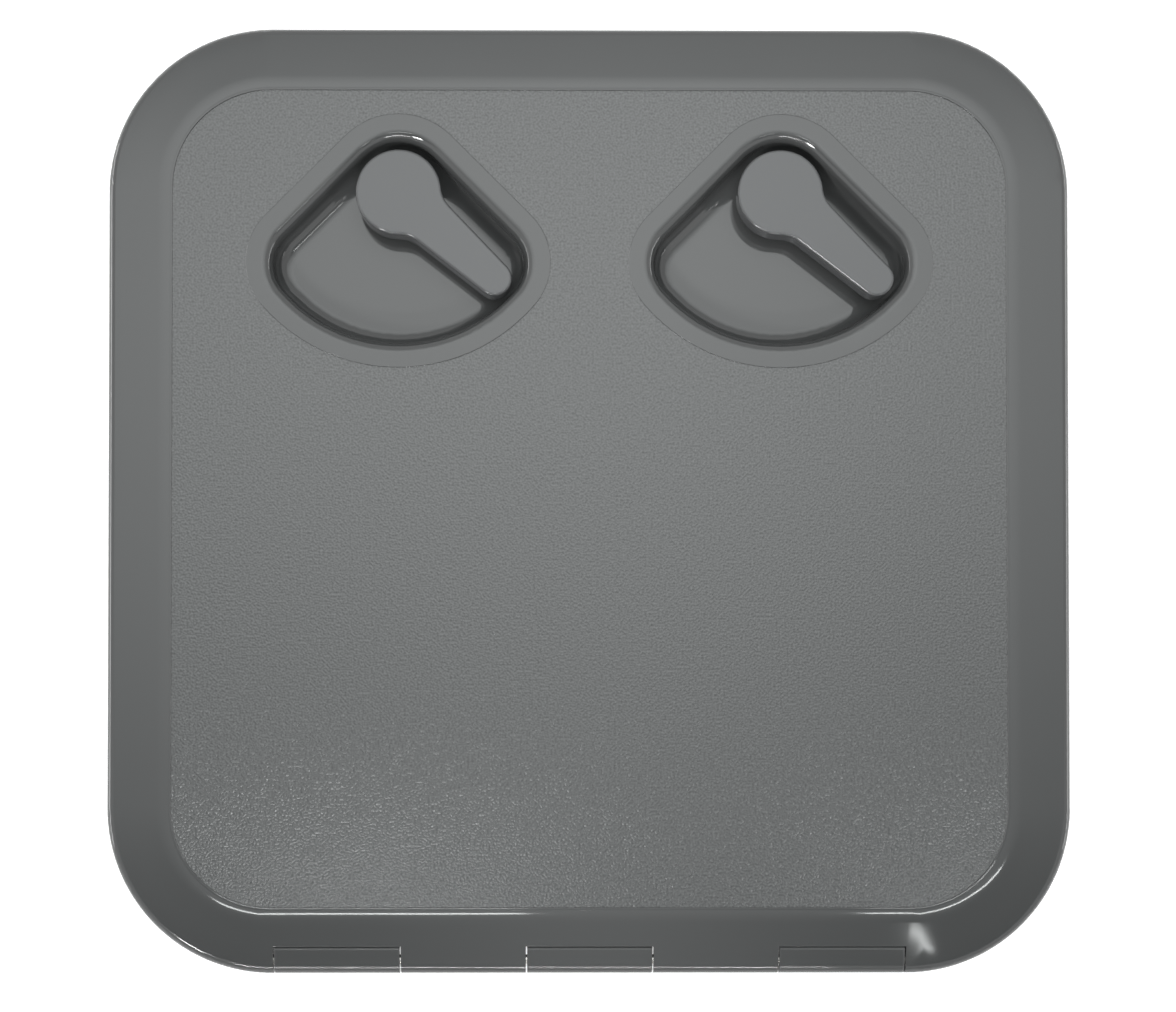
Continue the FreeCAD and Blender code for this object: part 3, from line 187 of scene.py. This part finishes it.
# The faces at the panel's height take the grain, all others the gloss
lid = smooth_shaded("lid", rim_abs, grained_abs)
panel_z = 34.8 * MM
level_within = 0.01 * MM
corners = np.empty(len(lid.data.vertices) * 3)
lid.data.vertices.foreach_get("co", corners)
corner_z = corners.reshape(-1, 3)[:, 2]
loop_vertex = np.empty(len(lid.data.loops), int)
lid.data.loops.foreach_get("vertex_index", loop_vertex)
off_panel = np.abs(corner_z[loop_vertex].reshape(-1, 3) - panel_z).max(axis=1)
lid.data.polygons.foreach_set("material_index", (off_panel < level_within).astype(int))
lid.data.update()


# Seal: an extruded ring in the channel under the lid, squeezed on the frame's coaming.

# Black EPDM: the carbon in it gives a dull black with hardly any highlight
rubber = new_material("epdm_rubber", "#1B1B1B", roughness=0.75, ior=1.52)
smooth_shaded("lid_seal", rubber)


# Latches: a grey nylon handle and shaft in each pocket, with a rubber ring, a black nylon cam, a
# stainless washer and a screw from below.

# Unfilled nylon from a polished mould: a satin gloss, a little softer than the lid's, with edges
# round enough for the fingers
handle_round = 0.6 * MM
satin_nylon = new_material("satin_nylon", "#4A4B4C", roughness=0.14, ior=1.55)
tree = satin_nylon.node_tree
link_shader(tree, "Normal", rounded_edges(tree, handle_round))

# Nylon with glass fibre: the fibres lie in the skin and make it matt
black_nylon = new_material("glass_filled_nylon", "#1D1E20", roughness=0.5, ior=1.53)
for side in ("left", "right"):
    smooth_shaded(side + "_handle", satin_nylon)
    smooth_shaded(side + "_shaft_seal", rubber)
    smooth_shaded(side + "_latch_cam", black_nylon)
    smooth_shaded(side + "_cam_washer", stainless)
    smooth_shaded(side + "_cam_screw", stainless)


# Studio: a white table under a soft ceiling that is brightest above the latch edge. Lit sheets
# stand in front, behind and low on both sides, a lamp shines from the front left, and three narrow
# strip lamps hang in front of the hinge edge. Lengths are in metres.

def new_plane(name, corners, material):
    """A flat four-cornered sheet."""
    mesh = bpy.data.meshes.new(name)
    mesh.from_pydata(corners, [], [(0, 1, 2, 3)])
    mesh.materials.append(material)
    sheet = bpy.data.objects.new(name, mesh)
    bpy.context.scene.collection.objects.link(sheet)
    return sheet


def empty_tree(holder):
    """The node tree of a material or a world, cleared."""
    holder.use_nodes = True
    holder.node_tree.nodes.clear()
    return holder.node_tree


def seen_ray(tree):
    """1 where a ray from the camera, a reflection or a clear material looks, 0 for other light."""
    path = add(tree, "ShaderNodeLightPath")
    first = add(tree, "ShaderNodeMath", {"operation": "MAXIMUM"},
                {0: path.outputs["Is Camera Ray"], 1: path.outputs["Is Glossy Ray"]})
    return add(tree, "ShaderNodeMath", {"operation": "MAXIMUM"},
               {0: first.outputs[0], 1: path.outputs["Is Transmission Ray"]}).outputs[0]


# White paper: matt, with a glow of its own where it is seen, so that it stays white in the picture.
# The glow grows from near_glow to far_glow between two distances from the hatch.
near_radius = 0.5
near_glow = 0.55
far_radius = 3.0
far_glow = 0.95
white_table = bpy.data.materials.new("white_table")
tree = empty_tree(white_table)
matt = add(tree, "ShaderNodeBsdfDiffuse", {"Color": linear("#F0F0F0")})
place = add(tree, "ShaderNodeTexCoord")
away = add(tree, "ShaderNodeVectorMath", {"operation": "LENGTH"}, {0: place.outputs["Object"]})
lift = add(tree, "ShaderNodeMapRange",
           {"From Min": near_radius, "From Max": far_radius, "To Min": near_glow, "To Max": far_glow},
           {"Value": away.outputs["Value"]})
glow = add(tree, "ShaderNodeEmission", {"Color": linear("#FFFFFF")}, {"Strength": lift.outputs[0]})
both = add(tree, "ShaderNodeAddShader", None, {0: matt.outputs[0], 1: glow.outputs[0]})
choice = add(tree, "ShaderNodeMixShader", None,
             {0: seen_ray(tree), 1: matt.outputs[0], 2: both.outputs[0]})
add(tree, "ShaderNodeOutputMaterial", None, {"Surface": choice.outputs[0]})
table_half = 6.0
table_z = -0.5 * MM
table_corners = [(-table_half, -table_half, table_z), (table_half, -table_half, table_z),
                 (table_half, table_half, table_z), (-table_half, table_half, table_z)]
table_top = new_plane("table_top", table_corners, white_table)

# A white cloth lit from behind by two lamps. Each makes an oval glow that fades outward: its
# strength, the place of its middle in X and Y, and its spread in X and Y.
ceiling_glows = ((2.75, -0.08, 0.72, 1.5, 0.72), (0.6, 0.09, -1.14, 0.23, 1.10))
ceiling_z = 1.85
ceiling_light = bpy.data.materials.new("ceiling_light")
tree = empty_tree(ceiling_light)
place = add(tree, "ShaderNodeTexCoord")
total = None
for strength, middle_x, middle_y, spread_x, spread_y in ceiling_glows:
    centred = add(tree, "ShaderNodeVectorMath", {"operation": "SUBTRACT"}, {0: place.outputs["Object"]})
    centred.inputs[1].default_value = (middle_x, middle_y, ceiling_z)
    scaled = add(tree, "ShaderNodeVectorMath", {"operation": "DIVIDE"}, {0: centred.outputs[0]})
    scaled.inputs[1].default_value = (spread_x, spread_y, 1)
    square = add(tree, "ShaderNodeVectorMath", {"operation": "DOT_PRODUCT"},
                 {0: scaled.outputs[0], 1: scaled.outputs[0]})
    half_square = add(tree, "ShaderNodeMath", {"operation": "MULTIPLY", 1: -0.5},
                      {0: square.outputs["Value"]})
    bell = add(tree, "ShaderNodeMath", {"operation": "EXPONENT"}, {0: half_square.outputs[0]})
    part = add(tree, "ShaderNodeMath", {"operation": "MULTIPLY", 1: strength}, {0: bell.outputs[0]})
    if total:
        part = add(tree, "ShaderNodeMath", {"operation": "ADD"}, {0: total.outputs[0], 1: part.outputs[0]})
    total = part
glow = add(tree, "ShaderNodeEmission", {"Color": linear("#FCFFFF")}, {"Strength": total.outputs[0]})
add(tree, "ShaderNodeOutputMaterial", None, {"Surface": glow.outputs[0]})
ceiling_corners = [(-1.5, -1.4, ceiling_z), (-1.5, 1.75, ceiling_z),
                   (1.5, 1.75, ceiling_z), (1.5, -1.4, ceiling_z)]
ceiling = new_plane("soft_ceiling", ceiling_corners, ceiling_light)
ceiling.visible_camera = False

# Key lamp: a large soft lamp whose narrow cone covers the hatch and little else
key_place = Vector((-1.0, -1.2, 1.5))
key_target = Vector((0.04, 0.13, 0.034))
key = bpy.data.lights.new("key_lamp", "SPOT")
key.energy = 120
key.spot_size = math.radians(14)
key.spot_blend = 1.0
key.shadow_soft_size = 0.22
key_lamp = bpy.data.objects.new("key_lamp", key)
bpy.context.scene.collection.objects.link(key_lamp)
key_lamp.location = key_place
key_lamp.rotation_euler = (key_target - key_place).to_track_quat("-Z", "Y").to_euler()

# Lit sheets: name, strength and corners. The camera doesn't see them, the gloss does.
sheets = (
    ("front_light", 0.7, [(-1.5, -1.9, 1.4), (0.9, -1.9, 1.4), (0.9, -2.1, 0.45), (-1.5, -2.1, 0.45)]),
    ("front_tube", 80, [(-0.9, -1.9, 1.5), (0.5, -1.9, 1.5), (0.5, -1.92, 1.455), (-0.9, -1.92, 1.455)]),
    ("back_light", 1.0, [(-1.5, 2.0, 0.3), (1.5, 2.0, 0.3), (1.5, 1.9, 1.7), (-1.5, 1.9, 1.7)]),
    ("left_window", 7, [(-1.6, -0.5, 0.02), (-1.6, 1.0, 0.02), (-1.6, 1.0, 0.3), (-1.6, -0.5, 0.3)]),
    ("right_window", 5, [(1.6, -0.5, 0.02), (1.6, 1.0, 0.02), (1.6, 1.0, 0.3), (1.6, -0.5, 0.3)]))
for name, strength, corners in sheets:
    lit = bpy.data.materials.new(name)
    tree = empty_tree(lit)
    glow = add(tree, "ShaderNodeEmission", {"Color": linear("#FFFFFF"), "Strength": strength})
    add(tree, "ShaderNodeOutputMaterial", None, {"Surface": glow.outputs[0]})
    lit_sheet = new_plane(name, corners, lit)
    lit_sheet.visible_camera = False

# Strip lamps, slightly cool: name, first end, last end, width and brightness
strip_lamps = (
    ("left_strip", (-0.50, -0.42, 1.5), (-0.03, -0.42, 1.5), 0.025, 30),
    ("right_strip", (0.41, -0.42, 1.5), (0.80, -0.42, 1.5), 0.025, 26),
    ("short_strip", (0.50, -0.78, 1.5), (0.60, -0.83, 1.5), 0.02, 16))
for name, first_end, last_end, width, brightness in strip_lamps:
    first = Vector(first_end)
    last = Vector(last_end)
    strip = bpy.data.lights.new(name, "AREA")
    strip.shape = "RECTANGLE"
    strip.size = (last - first).length
    strip.size_y = width
    strip.energy = brightness * math.pi * strip.size * strip.size_y
    strip.color = (0.97, 1.0, 0.99)
    lamp = bpy.data.objects.new(name, strip)
    bpy.context.scene.collection.objects.link(lamp)
    lamp.location = (first + last) / 2
    lamp.visible_camera = False
    lamp.rotation_euler = (0, 0, math.atan2(last.y - first.y, last.x - first.x))

# Room: white where it is seen, and a faint light from all around
room_light = 0.06
world = bpy.data.worlds.new("studio")
bpy.context.scene.world = world
tree = empty_tree(world)
room = add(tree, "ShaderNodeBackground", {"Color": linear("#FFFFFF"), "Strength": room_light})
white = add(tree, "ShaderNodeBackground", {"Color": linear("#FFFFFF"), "Strength": 1.0})
choice = add(tree, "ShaderNodeMixShader", None,
             {0: seen_ray(tree), 1: room.outputs[0], 2: white.outputs[0]})
add(tree, "ShaderNodeOutputWorld", None, {"Surface": choice.outputs[0]})


# Camera: as the photograph, square above the lid, nearer to its hinge edge and a little to the
# left, so the frame is shifted up and to the right to hold the whole lid. Its values come from a
# fit to the photograph, in the photograph's pixels.

picture = Vector((1176, 1012))
focal_pixels = 1610.9
axis_pixel = Vector((542.8, 696.8))
camera_data = bpy.data.cameras.new("camera")
camera_data.sensor_width = 36
camera_data.lens = focal_pixels / picture.x * camera_data.sensor_width
camera_data.shift_x = (picture.x / 2 - axis_pixel.x) / picture.x
camera_data.shift_y = (axis_pixel.y - picture.y / 2) / picture.x
camera = bpy.data.objects.new("camera", camera_data)
bpy.context.scene.collection.objects.link(camera)
camera.location = (-21.4 * MM, -85.2 * MM, 659.15 * MM)
camera.rotation_euler = (0.0127, -0.0051, 0)
bpy.context.scene.camera = camera
bpy.context.scene.view_settings.view_transform = "Standard"
